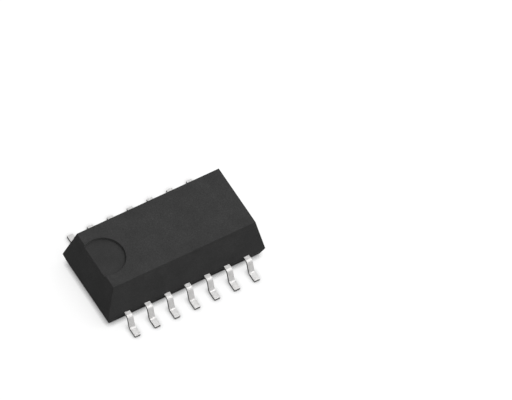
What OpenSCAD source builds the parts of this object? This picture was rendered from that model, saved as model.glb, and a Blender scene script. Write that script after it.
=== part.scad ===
// Comparator in a fourteen-lead small-outline package: a moulded body on gull-wing leads, and inside it
// the lead fingers, the paddle, the die and the bond wires. The feet stand on z = 0 with the package centred
// on the origin, long axis along X, the index recess at the -X end and lead 1 beside it on the -Y side.

/* [Package body] */
// Length of the moulding at its parting line
body_length = 10.05; // [9.2:0.05:12]
// Width of the moulding at its parting line
body_width = 5; // [4.4:0.1:6]
// Height of the moulding above its parting line
upper_height = 2.35; // [1:0.05:2.8]
// Height of the moulding below its parting line
lower_height = 0.65; // [0.5:0.05:1]
// Draft of the faces above the parting line, in degrees
upper_draft = 12; // [5:1:15]
// Draft of the faces below the parting line, in degrees
lower_draft = 17; // [5:1:20]
// Air gap between the underside and the board
standoff = 0.13; // [0.05:0.01:0.25]

/* [Index recess] */
// Radius of the round recess that marks the end with lead 1
index_radius = 1.25; // [0.8:0.05:1.5]
// Distance of its centre from that end of the moulding
index_inset = 1.03; // [0.6:0.01:1.5]
// Depth of its floor below the top face
index_depth = 0.15; // [0.05:0.01:0.3]

/* [Leads outside the body] */
// Distance between neighbouring leads of a row
lead_pitch = 1.27; // [1.1:0.01:1.4]
// Width of a lead where it leaves the body
lead_width = 0.35; // [0.25:0.01:0.5]
// Thickness of the lead frame strip
lead_thickness = 0.15; // [0.1:0.01:0.2]
// Distance from the body to the corner where the lead turns down
shoulder_length = 0.3; // [0.22:0.01:0.5]
// Lean of the riser from the vertical, in degrees
riser_lean = 24; // [5:1:40]
// Radius inside both bends
bend_radius = 0.13; // [0.05:0.01:0.18]
// Length of the foot, from the corner under the riser to its tip
foot_length = 0.63; // [0.4:0.01:0.9]

/* [Lead fingers inside the body] */
// Width of a finger
finger_width = 0.25; // [0.15:0.01:0.3]
// Width of the ears that lock a lead into the moulding
ear_width = 0.6; // [0.45:0.01:0.7]
// Length of the ears along the lead
ear_length = 0.2; // [0.1:0.01:0.25]
// Depth of the ears behind the face of the body
ear_depth = 0.15; // [0.1:0.01:0.2]
// Distance from the face of the body to where a finger turns to the paddle
knee_depth = 0.42; // [0.4:0.01:0.55]
// The same distance on the four corner leads, which go round to the ends of the paddle
corner_knee_depth = 1.15; // [0.9:0.01:1.3]
// Distance between neighbouring finger tips along the paddle
tip_pitch = 0.9; // [0.7:0.01:1]
// Distance of the corner fingers' tips from the long axis
corner_tip_offset = 0.62; // [0.5:0.01:0.8]
// Length of the straight end that takes the bond wire
bond_land = 0.25; // [0.2:0.01:0.3]

/* [Paddle] */
// Length of the plate under the die
paddle_length = 4; // [3:0.1:4.4]
// Width of the plate under the die
paddle_width = 2.2; // [1.8:0.1:2.4]
// Gap between the plate and the finger tips
paddle_gap = 0.2; // [0.15:0.01:0.3]
// Drop of the plate below the fingers
paddle_downset = 0.2; // [0.05:0.01:0.3]
// Width of the two tie bars
tie_bar_width = 0.4; // [0.2:0.05:0.6]
// Length of the level stretch of a tie bar before it climbs
tie_bar_start = 0.3; // [0.2:0.05:0.6]
// Moulding left over the end of a tie bar
tie_bar_cover = 0.2; // [0.1:0.05:0.5]

/* [Die] */
// Length of the die
die_length = 1.8; // [1.4:0.1:2.4]
// Width of the die
die_width = 1.4; // [1.2:0.1:1.7]
// Thickness of the die
die_thickness = 0.28; // [0.2:0.01:0.35]
// Thickness of the adhesive under the die
attach_thickness = 0.03; // [0.01:0.005:0.05]
// Width of the adhesive that shows round the die
attach_margin = 0.08; // [0.04:0.01:0.12]
// Distance of the bond pads from the edge of the die
pad_inset = 0.12; // [0.08:0.01:0.16]
// Distance between neighbouring bond pads along the die
pad_pitch = 0.3; // [0.2:0.01:0.32]
// Distance of the bond pads at the ends of the die from the long axis
end_pad_offset = 0.3; // [0.2:0.01:0.4]

/* [Bond wires] */
// Diameter of a wire
wire_diameter = 0.03; // [0.02:0.005:0.05]
// Diameter of the flattened ball on the die
ball_diameter = 0.08; // [0.06:0.005:0.1]
// Height of the flattened ball
ball_height = 0.02; // [0.01:0.005:0.03]
// Straight rise of a wire above its ball
wire_neck = 0.08; // [0.04:0.01:0.15]
// Radius of the loop at the top of a wire
loop_radius = 0.12; // [0.08:0.01:0.2]
// Distance of the stitch from the tip of the finger
stitch_inset = 0.12; // [0.08:0.01:0.16]

/* [Hidden] */
$fn = 64;
LEADS_PER_ROW = 7;
LEADS = 2 * LEADS_PER_ROW;
MIDDLE_SLOT = (LEADS_PER_ROW + 1) / 2;
ARC_STEPS = 8;
WIRE_SIDES = 8;

// Levels: the parting line is the middle of the lead frame
parting_z = standoff + lower_height;
top_z = parting_z + upper_height;
finger_top_z = parting_z + lead_thickness / 2;
paddle_mid_z = parting_z - paddle_downset;
attach_z = paddle_mid_z + lead_thickness / 2;
die_z = attach_z + attach_thickness;
die_top_z = die_z + die_thickness;

// Gull-wing form, along the middle of the strip and outwards from the body
bend_middle = bend_radius + lead_thickness / 2;
bend_tangent = bend_middle * tan((90 - riser_lean) / 2);
lead_drop = parting_z - lead_thickness / 2;
face_y = body_width / 2;
upper_corner_y = face_y + shoulder_length;
lower_corner_y = upper_corner_y + lead_drop * tan(riser_lean);
toe_y = lower_corner_y + foot_length;

function two_digits(n) = n < 10 ? str("0", n) : str(n);
LEAD_NODES = [for (n = [1:LEADS]) str("lead_", two_digits(n))];
WIRE_NODES = [for (n = [1:LEADS]) str("bond_wire_", two_digits(n))];

// Leads run counter-clockwise from the index end: 1 to 7 along -Y, then 8 to 14 along +Y. A lead is drawn as if
// on the +Y side and turned round for the -Y side. Its slot is its place along the row as drawn, 0 in the middle.
function on_far_side(n) = n > LEADS_PER_ROW;
function slot_of(n) = on_far_side(n) ? LEADS_PER_ROW + MIDDLE_SLOT - n : MIDDLE_SLOT - n;
function is_corner(slot) = abs(slot) == MIDDLE_SLOT - 1;

module at_side(n) {
    rotate([0, 0, on_far_side(n) ? 0 : 180])
        children();
}

// Outline of a strip of one width along a path with mitred corners
function unit(v) = v / norm(v);
function left_of(v) = [-v.y, v.x];
function path_normals(path) = [for (i = [0:len(path) - 2]) left_of(unit(path[i + 1] - path[i]))];
function mitre(a, b) = (a + b) / (1 + a * b);
function path_offsets(normals) = let (last = len(normals) - 1) [
    normals[0],
    for (i = [1:1:last]) mitre(normals[i - 1], normals[i]),
    normals[last]
];
function strip_outline(path, width) = let (offsets = path_offsets(path_normals(path)) * width / 2) concat(
    [for (i = [0:len(path) - 1]) path[i] + offsets[i]],
    [for (i = [len(path) - 1:-1:0]) path[i] - offsets[i]]
);

// Points along an arc, from one angle to another
function arc(centre, radius, from, to) = [
    for (i = [0:ARC_STEPS]) let (angle = from + (to - from) * i / ARC_STEPS)
        centre + radius * [cos(angle), sin(angle)]
];

// Where a finger ends at the paddle, and the way it points from there
function tip(slot) = is_corner(slot)
    ? [sign(slot) * (paddle_length / 2 + paddle_gap), corner_tip_offset]
    : [slot * tip_pitch, paddle_width / 2 + paddle_gap];
function tip_direction(slot) = is_corner(slot) ? [sign(slot), 0] : [0, 1];
function finger_path(slot) = [
    [slot * lead_pitch, face_y - ear_depth],
    [slot * lead_pitch, face_y - (is_corner(slot) ? corner_knee_depth : knee_depth)],
    tip(slot) + bond_land * tip_direction(slot),
    tip(slot)
];

// Where a wire starts on the die and ends on its finger
function pad(slot) = is_corner(slot)
    ? [sign(slot) * (die_length / 2 - pad_inset), end_pad_offset]
    : [slot * pad_pitch, die_width / 2 - pad_inset];
function stitch(slot) = tip(slot) + stitch_inset * tip_direction(slot);

// Section of the moulding: widest at the parting line, drawn in by the draft above and below
function body_section(span) = let (
    top = span / 2 - upper_height * tan(upper_draft),
    parting = span / 2,
    bottom = span / 2 - lower_height * tan(lower_draft)
) [
    [-bottom, standoff], [bottom, standoff], [parting, parting_z],
    [top, top_z], [-top, top_z], [-parting, parting_z]
];

module body_blank() {
    intersection() {
        rotate([90, 0, 0])
            linear_extrude(body_width, center = true)
                polygon(body_section(body_length));
        rotate([90, 0, 90])
            linear_extrude(body_length, center = true)
                polygon(body_section(body_width));
    }
}

module index_recess() {
    translate([index_inset - body_length / 2, 0, top_z - index_depth])
        cylinder(r = index_radius, h = 2 * index_depth);
}

// The moulding flows round everything that it holds, so it has the exact hollow of each piece
module package_body() {
    color([0.24, 0.24, 0.24])
        difference() {
            body_blank();
            index_recess();
            die_paddle();
            die_attach();
            die();
            for (n = [1:LEADS]) {
                lead(n);
                bond_wire(n);
            }
        }
}

// Plan of a strip of the lead frame, level with the parting line
module frame_plan(path, width) {
    translate([0, 0, parting_z - lead_thickness / 2])
        linear_extrude(lead_thickness)
            polygon(strip_outline(path, width));
}

// Side view of the formed part of a lead, outwards from the ears: shoulder, riser and foot with their bends
gull_wing_path = concat(
    [[face_y - ear_depth, parting_z]],
    arc([upper_corner_y - bend_tangent, parting_z - bend_middle], bend_middle, 90, riser_lean),
    arc([lower_corner_y + bend_tangent, lead_thickness / 2 + bend_middle], bend_middle, 180 + riser_lean, 270),
    [[toe_y, lead_thickness / 2]]
);

module gull_wing() {
    rotate([90, 0, 90])
        linear_extrude(lead_width, center = true)
            polygon(strip_outline(gull_wing_path, lead_thickness));
}

module lead(n) {
    slot = slot_of(n);
    x = slot * lead_pitch;
    color([0.86, 0.86, 0.85])
        at_side(n) {
            frame_plan(finger_path(slot), finger_width);
            frame_plan([[x, face_y - ear_depth - ear_length], [x, face_y - ear_depth]], ear_width);
            translate([x, 0, 0])
                gull_wing();
        }
}

// Side view of a tie bar: level with the plate, a climb at 45 degrees, then level with the fingers
module tie_bar() {
    climb_x = paddle_length / 2 + tie_bar_start;
    path = [
        [0, paddle_mid_z],
        [climb_x, paddle_mid_z],
        [climb_x + paddle_downset, parting_z],
        [body_length / 2 - tie_bar_cover, parting_z]
    ];
    rotate([90, 0, 0])
        linear_extrude(tie_bar_width, center = true)
            polygon(strip_outline(path, lead_thickness));
}

module die_paddle() {
    color([0.72, 0.45, 0.3]) {
        translate([-paddle_length / 2, -paddle_width / 2, paddle_mid_z - lead_thickness / 2])
            cube([paddle_length, paddle_width, lead_thickness]);
        tie_bar();
        mirror([1, 0, 0])
            tie_bar();
    }
}

module die_attach() {
    length = die_length + 2 * attach_margin;
    width = die_width + 2 * attach_margin;
    color([0.75, 0.75, 0.72])
        translate([-length / 2, -width / 2, attach_z])
            cube([length, width, attach_thickness]);
}

module die() {
    color([0.36, 0.38, 0.44])
        translate([-die_length / 2, -die_width / 2, die_z])
            cube([die_length, die_width, die_thickness]);
}

// Points round a wire that heads up at 0 degrees and along X at 90, in the plane of its loop
function wire_ring(centre, heading, diameter) = [
    for (i = [0:WIRE_SIDES - 1]) let (turn = 360 * i / WIRE_SIDES, out = cos(turn) * diameter / 2) [
        centre.x + out * cos(heading), sin(turn) * diameter / 2, centre.y - out * sin(heading)
    ]
];

// A wire in the plane of its loop: X is the way to the finger, and the origin is the pad. The wire rises from
// its ball, turns over an arc and runs straight to the finger, so the run is a tangent from there to the arc.
module wire_loop(reach, fall) {
    arc_centre = [loop_radius, ball_height + wire_neck];
    run = [reach, -fall] - arc_centre;
    slope = atan2(-run.y, run.x) + asin(loop_radius / norm(run));
    loop_path = arc(arc_centre, loop_radius, 180, 90 - slope);
    loop_rings = [for (i = [0:ARC_STEPS]) wire_ring(loop_path[i], (90 + slope) * i / ARC_STEPS, wire_diameter)];
    stitch_ring = [
        for (p = loop_rings[ARC_STEPS]) p + (p.z + fall) / sin(slope) * [cos(slope), 0, -sin(slope)]
    ];
    rings = concat(
        [wire_ring([0, 0], 0, ball_diameter)],
        [wire_ring([0, ball_height], 0, ball_diameter)],
        [wire_ring([0, ball_height], 0, wire_diameter)],
        loop_rings,
        [stitch_ring]
    );
    skin(rings);
}

// Solid through rings of points, each ring with as many points as the next
module skin(rings) {
    sides = len(rings[0]);
    last = len(rings) - 1;
    polyhedron(
        points = [for (ring = rings) for (p = ring) p],
        faces = concat(
            [[for (i = [0:sides - 1]) i]],
            [for (k = [0:last - 1]) for (i = [0:sides - 1]) let (j = (i + 1) % sides) [
                k * sides + i, (k + 1) * sides + i, (k + 1) * sides + j, k * sides + j
            ]],
            [[for (i = [sides - 1:-1:0]) last * sides + i]]
        )
    );
}

module bond_wire(n) {
    start = pad(slot_of(n));
    way = stitch(slot_of(n)) - start;
    color([0.85, 0.65, 0.25])
        at_side(n)
            translate([start.x, start.y, die_top_z])
                rotate([0, 0, atan2(way.y, way.x)])
                    wire_loop(norm(way), die_top_z - finger_top_z);
}

package_body();
die_paddle();
die_attach();
die();
for (n = [1:LEADS]) {
    lead(n);
    bond_wire(n);
}
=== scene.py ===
"""Looks of a fourteen-lead comparator chip: a moulded black epoxy body on tin-plated gull-wing leads."""

import math

import bmesh
import bpy
from mathutils import Matrix, Vector


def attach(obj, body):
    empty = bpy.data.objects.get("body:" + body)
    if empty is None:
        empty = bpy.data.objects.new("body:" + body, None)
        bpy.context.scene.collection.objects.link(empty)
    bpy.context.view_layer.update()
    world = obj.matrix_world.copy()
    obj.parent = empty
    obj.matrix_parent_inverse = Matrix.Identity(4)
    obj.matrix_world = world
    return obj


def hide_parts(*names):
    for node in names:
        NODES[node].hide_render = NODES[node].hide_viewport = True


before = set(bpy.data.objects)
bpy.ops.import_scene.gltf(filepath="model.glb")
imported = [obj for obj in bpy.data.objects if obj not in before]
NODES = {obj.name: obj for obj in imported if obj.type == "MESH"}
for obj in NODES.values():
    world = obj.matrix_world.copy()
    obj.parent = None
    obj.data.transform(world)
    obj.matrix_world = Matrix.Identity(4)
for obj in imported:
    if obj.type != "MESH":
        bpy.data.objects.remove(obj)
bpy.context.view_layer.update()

SCENE = bpy.context.scene
BODY = "root"
MM = 0.001
MICRON = MM / 1000

# Edges: how far sharp edges are rounded, in how many steps, and the angle from which an edge is sharp
BODY_EDGE = 0.012 * MM
LEAD_EDGE = 0.015 * MM
INNER_EDGE = 0.006 * MM
EDGE_STEPS = 3
BODY_SHARP_ANGLE = math.radians(20)
SOLID_SHARP_ANGLE = math.radians(40)

# Meshes: points closer than SAME_PLACE are one point, and the recess's curve has ARC_STEPS straight steps
SAME_PLACE = MICRON
ARC_STEPS = 96

# Places of the recess's materials in the body's list, after that of its faces: the floor's is smoother and
# darker, partly painted shade, and the wall's is lighter, painted light
RECESS_FLOOR = 1
RECESS_WALL = 2

# Noise keeps mostly between these values, so colours and roughness change between them
NOISE_LOW = 0.3
NOISE_HIGH = 0.7

# Moulded epoxy: its filler and clouds share the tone, and the lightest filler shows as pale specks
FILLER_SIZE = 0.045 * MM
FILLER_SHARE = 0.7
CLOUD_SIZE = 0.9 * MM
CLOUD_SHARE = 0.3
SPECK_START = 0.62
SPECK_END = 0.75
SPECK_LIGHT = 1.5
GRAIN_SIZE = 0.07 * MM
GRAIN_HEIGHT = 3 * MICRON
EPOXY_SPECULAR = 0.12

# Matt tin on the leads: crystals, stains, greys and roughness
TIN_GRAIN_SIZE = 0.02 * MM
TIN_GRAIN_HEIGHT = 0.4 * MICRON
TIN_STAIN_SIZE = 0.25 * MM
TIN_METALLIC = 0.6
TIN_DARK = 0.62
TIN_DARK_WARMTH = 0.012
TIN_LIGHT = 0.67
TIN_LIGHT_WARMTH = 0.006
TIN_SMOOTH = 0.48
TIN_ROUGH = 0.60

# Faces of the leads that a punch cut: upright, with shear lines and rougher than the tin; darker as painted
# shade on the plated sides, and as bare metal on the toe ends
UPRIGHT = 0.15
LEANING = 0.28
SHEAR_LINE_SIZE = 0.008 * MM
SHEAR_LINE_STRETCH = (1, 1, 0.12)
# Greys of those faces: painted shade on the plated sides, bare metal on the toe ends
CUT_AND_SHADE_DARK = 0.112
CUT_AND_SHADE_LIGHT = 0.148
CUT_AND_SHADE_WARMTH = 0.02
CUT_ROUGHER = 0.12

# Metals and circuit inside the body
METAL_GRAIN_SIZE = 0.02 * MM
METAL_GRAIN_STRETCH = (0.2, 1, 1)
METAL_ROUGHNESS_CHANGE = 0.15
CIRCUIT_BLOCK_SIZE = 0.35 * MM

# Camera: the photograph's angles, its scale and the place of the chip in its frame
IMAGE_WIDTH = 512
IMAGE_HEIGHT = 400
AZIMUTH = math.radians(-35.57)
ELEVATION = math.radians(56.64)
ROLL = math.radians(6.08)
PIXELS_PER_MM = 18.143
CHIP_PIXEL = (164.01, 251.03)
LENS = 1000
SENSOR = 36
NEAR_CLIP = 0.1
FAR_CLIP = 20

# Light: softboxes at one distance, and a studio that is white up to HORIZON_TOP and dim from CEILING_START
LAMP_DISTANCE = 1.0
LAMP_SIZE = 0.9
HORIZON_TOP = 0.14
HORIZON_LIGHT = 1.0
CEILING_START = 0.33
SKY_LIGHT = 0.38

# Floor: what the camera sees of it, what it bounces and what reflections see, and the shadow under the chip
FLOOR_SIZE = 8.0
FLOOR_GLOW = 0.78
FLOOR_SEEN = 0.24
FLOOR_BOUNCE = 0.26
FLOOR_MIRRORED = 0.6
CONTACT_REACH = 0.3 * MM
CONTACT_DARK = 0.15
CONTACT_SAMPLES = 4

# Sockets of a node that mixes colours
MIX_FACTOR = 0
MIX_FIRST = 6
MIX_SECOND = 7
MIX_RESULT = 2


# Helpers for node trees

def add_node(tree, kind, values=None, links=None, **settings):
    """A new node with its settings, its sockets' values and the sockets that feed it."""
    node = tree.nodes.new(kind)
    for key, value in settings.items():
        setattr(node, key, value)
    for key, value in (values or {}).items():
        node.inputs[key].default_value = value
    for key, source in (links or {}).items():
        tree.links.new(source, node.inputs[key])
    return node


def empty_tree(owner):
    """The node tree of a new material or world, with nothing in it."""
    owner.use_nodes = True
    owner.node_tree.nodes.clear()
    return owner.node_tree


def new_material(name, **constants):
    """A material with one principled shader, whose constant values are set on its own sockets."""
    material = bpy.data.materials.new(name)
    tree = empty_tree(material)
    values = {key.replace("_", " "): value for key, value in constants.items()}
    shader = add_node(tree, "ShaderNodeBsdfPrincipled", values)
    add_node(tree, "ShaderNodeOutputMaterial", links={"Surface": shader.outputs["BSDF"]})
    return material, tree, shader


def grey(level, warmth=0.0):
    """A grey of that linear level, a little warmer or cooler."""
    return (level * (1 + warmth), level, level * (1 - warmth), 1.0)


def place(tree, stretch=(1, 1, 1)):
    """The frame's own coordinates, stretched along its axes."""
    coordinates = add_node(tree, "ShaderNodeTexCoord").outputs["Object"]
    mapping = add_node(tree, "ShaderNodeMapping", {"Scale": stretch}, {"Vector": coordinates})
    return mapping.outputs["Vector"]


def noise(tree, size, detail=2.0, stretch=(1, 1, 1)):
    """Noise with lumps about that size."""
    values = {"Scale": 1 / size, "Detail": detail}
    return add_node(tree, "ShaderNodeTexNoise", values, {"Vector": place(tree, stretch)}).outputs["Fac"]


def spread(tree, factor, low, high, start=NOISE_LOW, end=NOISE_HIGH):
    """A value that goes from low to high as the factor goes from start to end."""
    limits = {"From Min": start, "From Max": end, "To Min": low, "To Max": high}
    return add_node(tree, "ShaderNodeMapRange", limits, {"Value": factor}).outputs["Result"]


def math_node(tree, operation, first, second=0.0):
    """One sum, product or other step with one or two values, each a number or a socket."""
    node = add_node(tree, "ShaderNodeMath", operation=operation)
    for socket, value in zip(node.inputs, (first, second)):
        if isinstance(value, (int, float)):
            socket.default_value = value
        else:
            tree.links.new(value, socket)
    return node.outputs["Value"]


def ramp(tree, factor, *stops):
    """A colour ramp through the (place, colour) stops."""
    node = add_node(tree, "ShaderNodeValToRGB", links={"Fac": factor})
    elements = node.color_ramp.elements
    while len(elements) < len(stops):
        elements.new(0.5)
    for element, (position, colour) in zip(elements, stops):
        element.position = position
        element.color = colour
    return node.outputs["Color"]


def shades(tree, pattern, dark, light):
    """A colour that goes from dark to light as a noise pattern does."""
    return ramp(tree, pattern, (NOISE_LOW, dark), (NOISE_HIGH, light))


def blend(tree, factor, first, second):
    """Two colours mixed by a factor."""
    links = {MIX_FACTOR: factor, MIX_FIRST: first, MIX_SECOND: second}
    return add_node(tree, "ShaderNodeMix", links=links, data_type="RGBA").outputs[MIX_RESULT]


def bump(tree, height, depth):
    """A bumped normal, where a height of one stands that far out of the surface."""
    values = {"Strength": 1.0, "Distance": depth}
    return add_node(tree, "ShaderNodeBump", values, {"Height": height}).outputs["Normal"]


# Materials

def mould_compound(name, dark, light, smooth, rough):
    """Black epoxy full of fine silica: faint grey specks, a slight cloudiness and the matt of the mould."""
    material, tree, shader = new_material(name, Specular_IOR_Level=EPOXY_SPECULAR)
    filler = math_node(tree, "MULTIPLY", noise(tree, FILLER_SIZE, detail=3.0), FILLER_SHARE)
    clouds = math_node(tree, "MULTIPLY", noise(tree, CLOUD_SIZE), CLOUD_SHARE)
    tone = math_node(tree, "ADD", filler, clouds)
    specks = grey(light * SPECK_LIGHT)
    colour = ramp(tree, tone, (NOISE_LOW, grey(dark)), (SPECK_START, grey(light)), (SPECK_END, specks))
    grain = noise(tree, GRAIN_SIZE, detail=4.0)
    tree.links.new(colour, shader.inputs["Base Color"])
    tree.links.new(spread(tree, grain, smooth, rough), shader.inputs["Roughness"])
    tree.links.new(bump(tree, grain, GRAIN_HEIGHT), shader.inputs["Normal"])
    return material


def cut_and_shaded_faces(tree):
    """One on the upright faces, which are the sides and ends that a punch cut and which carry the painted
    shade, and zero on the others.
    """
    normal = add_node(tree, "ShaderNodeNewGeometry").outputs["True Normal"]
    height = add_node(tree, "ShaderNodeSeparateXYZ", links={"Vector": normal}).outputs["Z"]
    return spread(tree, math_node(tree, "ABSOLUTE", height), 1.0, 0.0, UPRIGHT, LEANING)


def tin_plate():
    """Matt tin on copper alloy: fine crystals, faint stains, and rougher, darker cut faces: painted shade,
    but bare metal at the toes.
    """
    material, tree, shader = new_material("matte_tin_plate", Metallic=TIN_METALLIC)
    stain = noise(tree, TIN_STAIN_SIZE, detail=3.0)
    plated = shades(tree, stain, grey(TIN_DARK, TIN_DARK_WARMTH), grey(TIN_LIGHT, TIN_LIGHT_WARMTH))
    lines = noise(tree, SHEAR_LINE_SIZE, detail=1.0, stretch=SHEAR_LINE_STRETCH)
    # Painted shade: the upright faces get a dark grey, which only the toe ends have as bare metal
    sheared_and_shaded = shades(tree, lines, grey(CUT_AND_SHADE_DARK, CUT_AND_SHADE_WARMTH), grey(CUT_AND_SHADE_LIGHT, CUT_AND_SHADE_WARMTH))
    cut = cut_and_shaded_faces(tree)
    grain = noise(tree, TIN_GRAIN_SIZE, detail=3.0)
    rougher = math_node(tree, "MULTIPLY", cut, CUT_ROUGHER)
    roughness = math_node(tree, "ADD", spread(tree, grain, TIN_SMOOTH, TIN_ROUGH), rougher)
    tree.links.new(blend(tree, cut, plated, sheared_and_shaded), shader.inputs["Base Color"])
    tree.links.new(roughness, shader.inputs["Roughness"])
    tree.links.new(bump(tree, grain, TIN_GRAIN_HEIGHT), shader.inputs["Normal"])
    return material


def metal(name, dark, light, rough):
    """A plain metal with fine rolling or drawing grain."""
    material, tree, shader = new_material(name, Metallic=1.0)
    grain = noise(tree, METAL_GRAIN_SIZE, detail=3.0, stretch=METAL_GRAIN_STRETCH)
    least = rough * (1 - METAL_ROUGHNESS_CHANGE)
    greatest = rough * (1 + METAL_ROUGHNESS_CHANGE)
    tree.links.new(shades(tree, grain, dark, light), shader.inputs["Base Color"])
    tree.links.new(spread(tree, grain, least, greatest), shader.inputs["Roughness"])
    return material


def silicon():
    """A polished die with the blocks of its circuit on top."""
    material, tree, shader = new_material("silicon_die", Specular_IOR_Level=0.8)
    circuit = {
        "Scale": 1 / CIRCUIT_BLOCK_SIZE,
        "Brick Width": 0.9,
        "Row Height": 0.6,
        "Mortar Size": 0.06,
        "Color1": (0.16, 0.13, 0.15, 1),
        "Color2": (0.10, 0.11, 0.16, 1),
        "Mortar": (0.42, 0.40, 0.36, 1),
    }
    blocks = add_node(tree, "ShaderNodeTexBrick", circuit, {"Vector": place(tree)})
    polish = spread(tree, noise(tree, FILLER_SIZE), low=0.12, high=0.24)
    tree.links.new(blocks.outputs["Color"], shader.inputs["Base Color"])
    tree.links.new(polish, shader.inputs["Roughness"])
    return material


def adhesive():
    """Silver-filled epoxy: pale grey with bright flakes."""
    material, tree, shader = new_material("silver_epoxy", Metallic=0.4)
    flakes = noise(tree, FILLER_SIZE, detail=3.0)
    colour = shades(tree, flakes, dark=grey(0.40), light=grey(0.62))
    tree.links.new(colour, shader.inputs["Base Color"])
    tree.links.new(spread(tree, flakes, low=0.4, high=0.6), shader.inputs["Roughness"])
    return material


# The moulded body

def body_points():
    """The points of the body's solid."""
    return [v.co for v in NODES["package_body"].data.vertices]


def parting_height(points):
    """The height of the parting line, where the body is longest."""
    return max(points, key=lambda p: p.x).z


def level(points, height):
    """Half the body's length and width at one height of its mesh."""
    ring = [p for p in points if abs(p.z - height) < SAME_PLACE]
    return max(p.x for p in ring), max(p.y for p in ring)


def recess_circle(points, height):
    """The x of the recess's axis, its radius and the x of its mouth, from the rim of its floor."""
    rim = [p for p in points if abs(p.z - height) < SAME_PLACE]
    mouth = min(rim, key=lambda p: p.x)
    inner = max(rim, key=lambda p: p.x)
    squares = inner.x**2 + inner.y**2 - mouth.x**2 - mouth.y**2
    axis = squares / (2 * (inner.x - mouth.x))
    return axis, math.hypot(inner.x - axis, inner.y), mouth.x


def rectangle(bm, half_length, half_width, height):
    """Four corners at one height, counter-clockwise from the index end's near corner."""
    signs = ((-1, -1), (1, -1), (1, 1), (-1, 1))
    return [bm.verts.new((half_length * sx, half_width * sy, height)) for sx, sy in signs]


def recess_arc(bm, axis, radius, mouth, height):
    """The recess's round edge at one height, from the near end of its mouth to the far one."""
    reach = math.acos((mouth - axis) / radius)
    angles = [reach * (2 * step / ARC_STEPS - 1) for step in range(ARC_STEPS + 1)]
    return [bm.verts.new((axis + radius * math.cos(a), radius * math.sin(a), height)) for a in angles]


def shape_body(bm):
    """Drafted faces above and below the parting line, a flat top and bottom, and the recess in one end."""
    points = body_points()
    top = max(p.z for p in points)
    bottom = min(p.z for p in points)
    parting = parting_height(points)
    upper = rectangle(bm, *level(points, top), top)
    middle = rectangle(bm, *level(points, parting), parting)
    lower = rectangle(bm, *level(points, bottom), bottom)

    index_end = upper[0].co.x
    recess_floor = max(p.z for p in points if p.z < top - SAME_PLACE and p.x > index_end)
    axis, radius, mouth = recess_circle(points, recess_floor)
    rim = recess_arc(bm, axis, radius, index_end, top)
    foot = recess_arc(bm, axis, radius, mouth, recess_floor)

    bm.faces.new(reversed(lower))
    index_side = (3, 0)
    for a, b in ((0, 1), (1, 2), (2, 3), index_side):
        bm.faces.new((lower[a], lower[b], middle[b], middle[a]))
        if (a, b) != index_side:
            bm.faces.new((middle[a], middle[b], upper[b], upper[a]))
    bm.faces.new((middle[3], middle[0], upper[0], rim[0], foot[0], foot[-1], rim[-1], upper[3]))
    bm.faces.new((*upper, *reversed(rim)))
    for i in range(ARC_STEPS):
        bm.faces.new((foot[i], rim[i], rim[i + 1], foot[i + 1])).material_index = RECESS_WALL
    bm.faces.new(foot).material_index = RECESS_FLOOR
    bmesh.ops.recalc_face_normals(bm, faces=bm.faces)


def round_edges(bm, edges, radius):
    """Rounds those edges in place."""
    bmesh.ops.bevel(
        bm,
        geom=edges,
        offset=radius,
        offset_type="OFFSET",
        segments=EDGE_STEPS,
        profile=0.5,
        affect="EDGES",
        clamp_overlap=True,
        material=-1,
    )


def moulded_body(*finishes):
    """The body as one mesh, with the materials of its faces, its recess's floor and its recess's wall; the
    floor's is partly painted shade and the wall's is painted light.
    """
    bm = bmesh.new()
    shape_body(bm)
    round_edges(bm, [e for e in bm.edges if e.calc_face_angle(0) > BODY_SHARP_ANGLE], BODY_EDGE)
    for face in bm.faces:
        face.smooth = True

    mesh = bpy.data.meshes.new("moulded_body")
    bm.to_mesh(mesh)
    bm.free()
    for finish in finishes:
        mesh.materials.append(finish)
    piece = bpy.data.objects.new("moulded_body", mesh)
    SCENE.collection.objects.link(piece)
    piece.modifiers.new("even_shading", "WEIGHTED_NORMAL")
    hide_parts("package_body")
    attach(piece, BODY)


# Finish of the solids that keep their shape

def finish_node(name, material, edge):
    """Joins the faces of a solid, rounds its sharp edges and gives it its material."""
    solid = NODES[name]
    solid.data.materials.clear()
    solid.data.materials.append(material)
    weld = solid.modifiers.new("joined_faces", "WELD")
    weld.merge_threshold = SAME_PLACE
    bevel = solid.modifiers.new("rounded_edges", "BEVEL")
    bevel.width = edge
    bevel.segments = EDGE_STEPS
    bevel.limit_method = "ANGLE"
    bevel.angle_limit = SOLID_SHARP_ANGLE
    solid.modifiers.new("even_shading", "WEIGHTED_NORMAL")


def finish_nodes():
    """Gives every solid but the body its finish, by the first part of its name."""
    gold = metal("gold_wire", dark=(0.80, 0.52, 0.16, 1), light=(0.94, 0.66, 0.26, 1), rough=0.22)
    copper = metal("copper_alloy", dark=(0.62, 0.34, 0.22, 1), light=(0.78, 0.46, 0.32, 1), rough=0.34)
    finishes = {
        "lead": (tin_plate(), LEAD_EDGE),
        "bond_wire": (gold, 0),
        "die_paddle": (copper, INNER_EDGE),
        "die_attach": (adhesive(), INNER_EDGE),
        "die": (silicon(), INNER_EDGE),
    }
    for name in NODES:
        kind = name.rstrip("0123456789").rstrip("_")
        if kind in finishes:
            finish_node(name, *finishes[kind])


# Floor, light and camera

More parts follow.
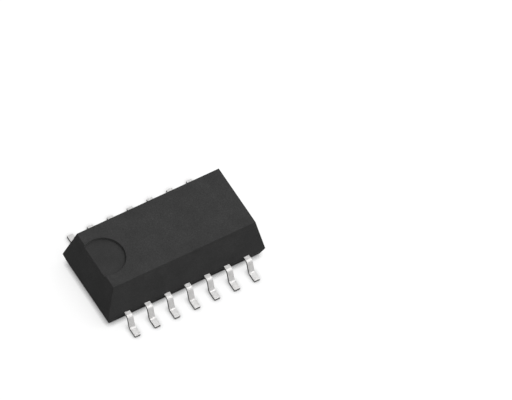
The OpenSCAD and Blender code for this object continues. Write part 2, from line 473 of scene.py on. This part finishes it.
def floor_paint():
    """White to the camera but for the chip's shadow, pale in reflections and greyer in bounced light."""
    material = bpy.data.materials.new("pale_floor")
    tree = empty_tree(material)
    rays = add_node(tree, "ShaderNodeLightPath").outputs
    mirrored = math_node(tree, "MAXIMUM", rays["Is Glossy Ray"], rays["Is Transmission Ray"])
    paint = ramp(tree, mirrored, (0, grey(FLOOR_BOUNCE)), (1, grey(FLOOR_MIRRORED)))
    plain = add_node(tree, "ShaderNodeBsdfDiffuse", links={"Color": paint})
    reach = {"Distance": CONTACT_REACH}
    clear = add_node(tree, "ShaderNodeAmbientOcclusion", reach, samples=CONTACT_SAMPLES).outputs["AO"]
    strength = spread(tree, clear, 0.0, FLOOR_GLOW, CONTACT_DARK, 1.0)
    glow = add_node(tree, "ShaderNodeEmission", links={"Strength": strength})
    shadowed = add_node(tree, "ShaderNodeBsdfDiffuse", {"Color": grey(FLOOR_SEEN)})
    white = add_node(tree, "ShaderNodeAddShader", links={0: glow.outputs[0], 1: shadowed.outputs[0]})
    seen = {"Fac": rays["Is Camera Ray"], 1: plain.outputs[0], 2: white.outputs[0]}
    mix = add_node(tree, "ShaderNodeMixShader", links=seen)
    add_node(tree, "ShaderNodeOutputMaterial", links={"Surface": mix.outputs[0]})
    return material


def floor():
    """One large triangle, because a seam between two would show as a line."""
    mesh = bpy.data.meshes.new("floor")
    corners = [(0, FLOOR_SIZE, 0), (-FLOOR_SIZE, -FLOOR_SIZE, 0), (FLOOR_SIZE, -FLOOR_SIZE, 0)]
    mesh.from_pydata(corners, [], [(0, 1, 2)])
    mesh.materials.append(floor_paint())
    plane = bpy.data.objects.new("floor", mesh)
    SCENE.collection.objects.link(plane)


def studio():
    """White round the horizon, where the backdrop would be, and a dimmer ceiling."""
    world = bpy.data.worlds.new("studio")
    tree = empty_tree(world)
    direction = add_node(tree, "ShaderNodeTexCoord").outputs["Generated"]
    height = add_node(tree, "ShaderNodeSeparateXYZ", links={"Vector": direction}).outputs["Z"]
    light = ramp(tree, height, (HORIZON_TOP, grey(HORIZON_LIGHT)), (CEILING_START, grey(SKY_LIGHT)))
    background = add_node(tree, "ShaderNodeBackground", links={"Color": light})
    add_node(tree, "ShaderNodeOutputWorld", links={"Surface": background.outputs[0]})
    SCENE.world = world


def softbox(name, direction, radiance):
    """A square area lamp that faces the chip from that direction."""
    lamp = bpy.data.lights.new(name, "AREA")
    lamp.shape = "SQUARE"
    lamp.size = LAMP_SIZE
    lamp.energy = radiance * math.pi * LAMP_SIZE**2
    piece = bpy.data.objects.new(name, lamp)
    toward = Vector(direction).normalized()
    piece.location = toward * LAMP_DISTANCE
    piece.rotation_euler = toward.to_track_quat("Z", "Y").to_euler()
    piece.visible_camera = False
    SCENE.collection.objects.link(piece)


def camera():
    """A long lens from the photograph's angle, with the chip where the photograph has it."""
    level_reach = math.cos(ELEVATION)
    back = Vector((math.sin(AZIMUTH) * level_reach, -math.cos(AZIMUTH) * level_reach, math.sin(ELEVATION)))
    level_right = Vector((math.cos(AZIMUTH), math.sin(AZIMUTH), 0))
    right = Matrix.Rotation(ROLL, 3, back) @ level_right
    up = back.cross(right)

    aside = (IMAGE_WIDTH / 2 - CHIP_PIXEL[0]) / PIXELS_PER_MM * MM
    above = (CHIP_PIXEL[1] - IMAGE_HEIGHT / 2) / PIXELS_PER_MM * MM
    aim = Vector((0, 0, parting_height(body_points()))) + right * aside + up * above
    distance = IMAGE_WIDTH / PIXELS_PER_MM * MM * LENS / SENSOR

    lens = bpy.data.cameras.new("camera")
    lens.lens = LENS
    lens.sensor_width = SENSOR
    lens.clip_start = NEAR_CLIP
    lens.clip_end = FAR_CLIP
    piece = bpy.data.objects.new("camera", lens)
    turn = Matrix((right, up, back)).transposed().to_4x4()
    piece.matrix_world = Matrix.Translation(aim + back * distance) @ turn
    SCENE.collection.objects.link(piece)
    SCENE.camera = piece


moulded_body(
    mould_compound("mould_compound", dark=0.0245, light=0.041, smooth=0.68, rough=0.82),
    # Recess floor: a smoother finish, and a darker colour that is partly painted shade
    mould_compound("mould_compound_recess_smooth_and_painted_shade", dark=0.021, light=0.0345, smooth=0.60, rough=0.72),
    # Recess wall: a lighter colour, painted light that offsets the shade in the recess
    mould_compound("mould_compound_wall_painted_light", dark=0.031, light=0.052, smooth=0.68, rough=0.82),
)
finish_nodes()
floor()
studio()
softbox("back_softbox", direction=(0.35, 0.35, 0.87), radiance=1.0)
softbox("key_softbox", direction=(0.3, -0.3, 0.9), radiance=3.0)
camera()
SCENE.view_settings.view_transform = "Standard"
